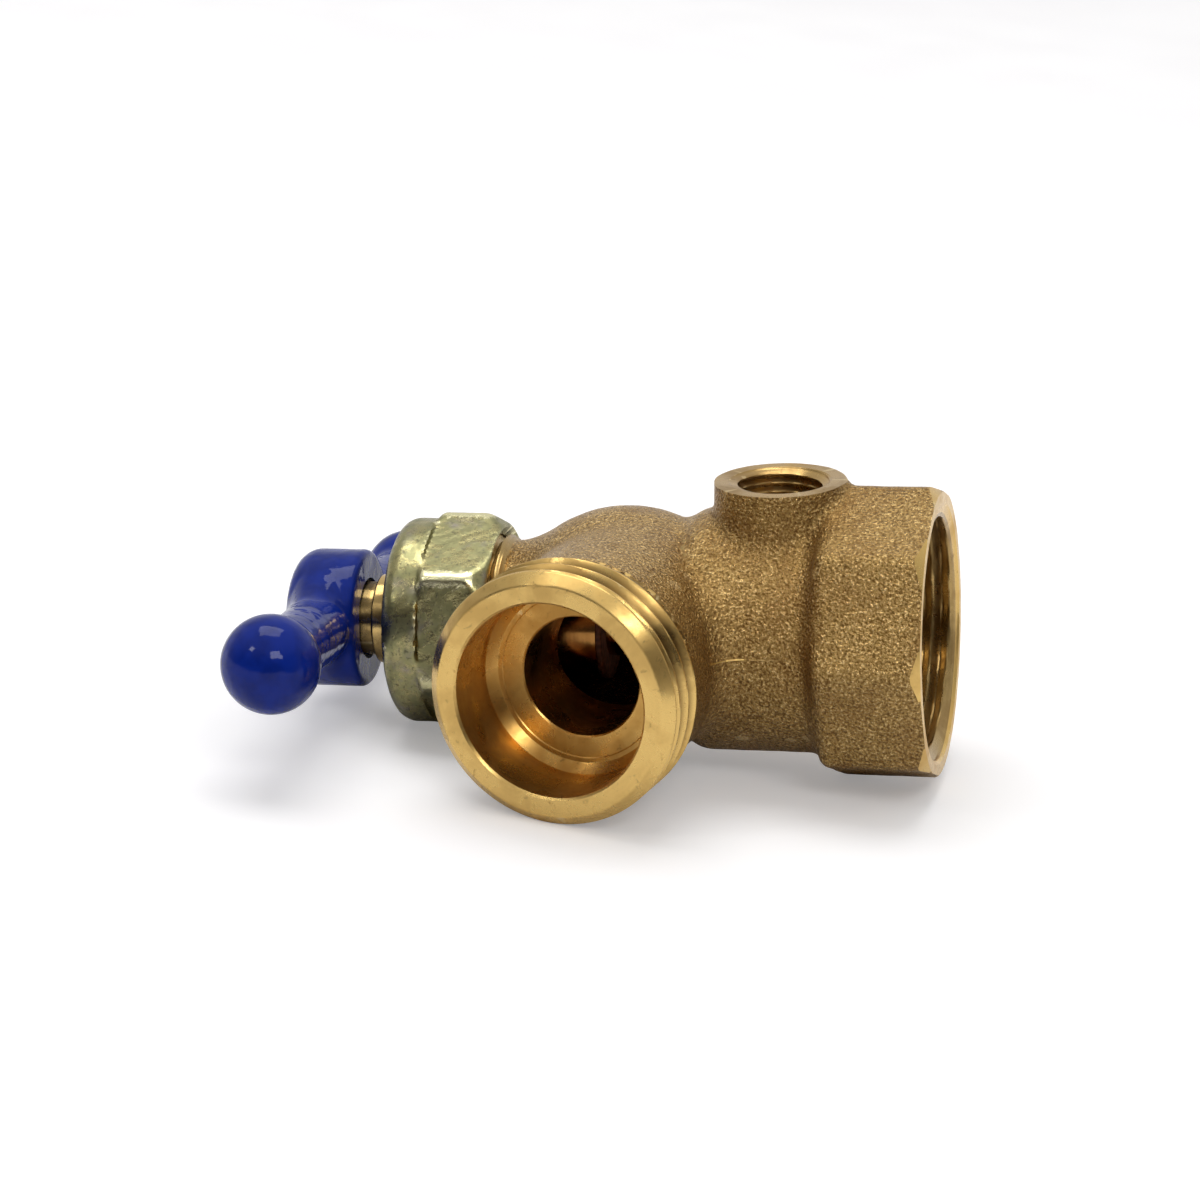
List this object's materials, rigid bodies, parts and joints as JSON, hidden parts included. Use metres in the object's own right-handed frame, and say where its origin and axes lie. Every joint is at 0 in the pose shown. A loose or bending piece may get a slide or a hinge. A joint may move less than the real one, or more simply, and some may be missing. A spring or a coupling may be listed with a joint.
{
  "type": "sillcock",
  "caption": "Brass sillcock with a female pipe inlet, a hose outlet, a small side port and a quarter-turn blue tee handle.",
  "frame": {"origin": "centre of the inlet end face, on the inlet and stem axis", "axes": "+X out of the inlet mouth along the stem axis, +Z out of the side port, hose outlet towards -Y, handle towards -X"},
  "size_m": [0.0698, 0.0622, 0.0318],
  "materials": {
    "cast_brass": "as-cast grained brass with machined ends",
    "turned_brass": "machined",
    "stem_brass": "turned and polished",
    "zinc_plated_steel": "yellow zinc plating",
    "graphite_packing": "matt graphite",
    "fibre_gasket": "pressed fibre",
    "spring_wire": "bright spring steel",
    "black_rubber": "matt",
    "die_cast_zinc": "as cast",
    "blue_vinyl": "glossy dipped vinyl",
    "screw_steel": "bright zinc plating"
  },
  "bodies": {
    "root": {"valve_body": "cast_brass", "packing_nut": "zinc_plated_steel", "packing_washer": "turned_brass", "packing_ring": "graphite_packing", "neck_gasket": "fibre_gasket", "stem_bushing": "turned_brass"},
    "washer_carrier": {"washer_cup": "turned_brass", "cup_retaining_ring": "spring_wire", "seat_washer": "black_rubber", "washer_screw": "turned_brass"},
    "stem_and_handle": {"stem": "stem_brass", "handle_core": "die_cast_zinc", "handle_coating": "blue_vinyl", "handle_screw": "screw_steel", "lock_washer": "spring_wire"}
  },
  "joints": [
    {"name": "stem_travel", "type": "slide", "parent": "root", "child": "washer_carrier", "axis": [1, 0, 0], "range_m": [0, 0.0032]},
    {"name": "handle_turn", "type": "hinge", "parent": "washer_carrier", "child": "stem_and_handle", "pos_m": [-0.0311, 0, 0], "axis": [1, 0, 0], "range_deg": [0, 90]}
  ],
  "couplings": [
    {"joint": "stem_travel", "follows": "handle_turn", "m_per_rad": 0.0020372}
  ]
}
